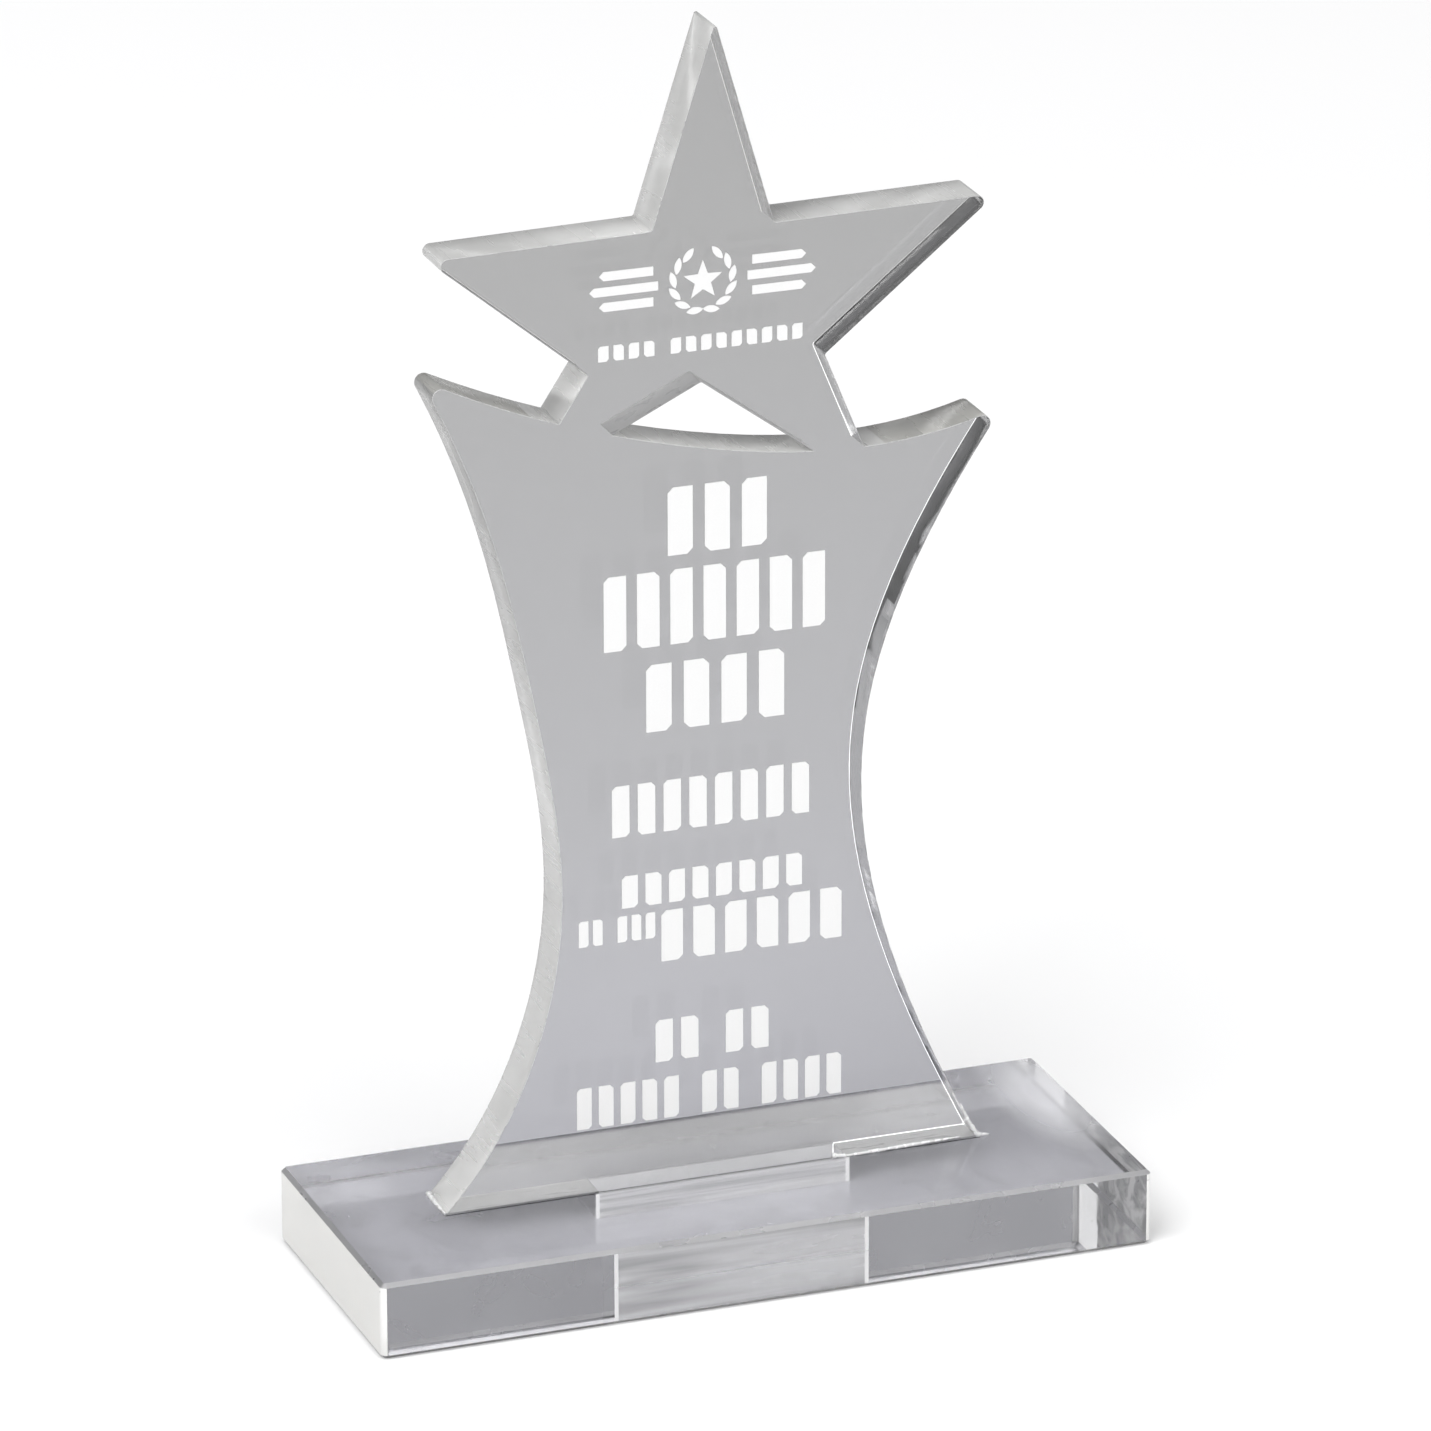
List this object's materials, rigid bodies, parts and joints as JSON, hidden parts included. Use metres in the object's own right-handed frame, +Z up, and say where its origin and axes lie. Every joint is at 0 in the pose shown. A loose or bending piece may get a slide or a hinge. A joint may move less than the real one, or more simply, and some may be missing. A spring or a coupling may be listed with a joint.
{
  "type": "star award trophy",
  "caption": "Desk award: a clear grey acrylic upright, a star above a waisted body, cemented by its tenon into a thick acrylic base block, with a plain white print.",
  "frame": {"origin": "centre of the base block's underside, on the surface it stands on", "axes": "+Z up, +X to the right of someone reading the front, the printed front face looks towards -Y"},
  "size_m": [0.0988, 0.0386, 0.155],
  "materials": {
    "base_acrylic": "clear cast acrylic, polished faces, lighter sawn ends",
    "upright_acrylic": "clear grey acrylic sheet, laser-polished edges",
    "clear_cement": "clear solvent cement",
    "white_ink": "opaque white printed ink, satin"
  },
  "bodies": {
    "root": {"base_block": "base_acrylic", "upright_plate": "upright_acrylic", "tab_cement_film": "clear_cement", "crest_print": "white_ink", "caption_print": "white_ink", "title_print": "white_ink", "name_print": "white_ink", "award_print": "white_ink", "message_print": "white_ink"}
  },
  "joints": []
}
